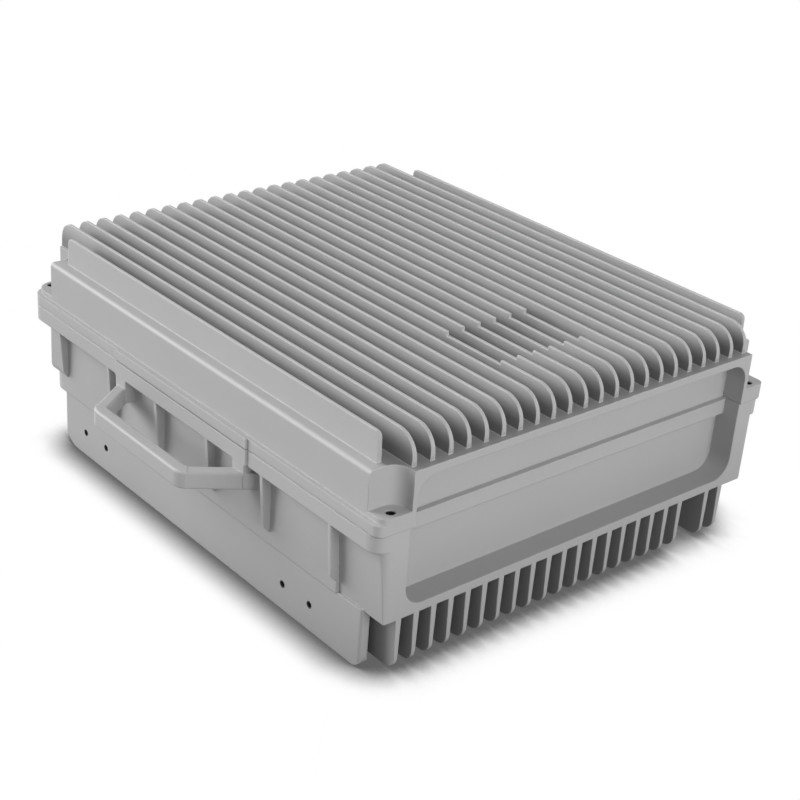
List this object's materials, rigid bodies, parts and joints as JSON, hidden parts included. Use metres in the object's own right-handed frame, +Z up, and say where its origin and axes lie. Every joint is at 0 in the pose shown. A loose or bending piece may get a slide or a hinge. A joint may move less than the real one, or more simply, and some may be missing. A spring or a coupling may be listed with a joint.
{
  "type": "die-cast finned enclosure",
  "caption": "Grey cast aluminium outdoor enclosure with cooling fins on the lid and under the floor, ribbed sides, cast carrying handles and a recessed connector bay.",
  "frame": {"origin": "middle of the rest plane under the two skids", "axes": "+Z up, +Y from the connector bay toward the rear along the fins, +X across the fins"},
  "size_m": [0.443, 0.431, 0.171],
  "materials": {
    "casting": "matt grey coated aluminium casting",
    "seal": "matt black"
  },
  "bodies": {
    "root": {"base": "casting", "lid": "casting", "gasket": "seal"}
  },
  "joints": []
}
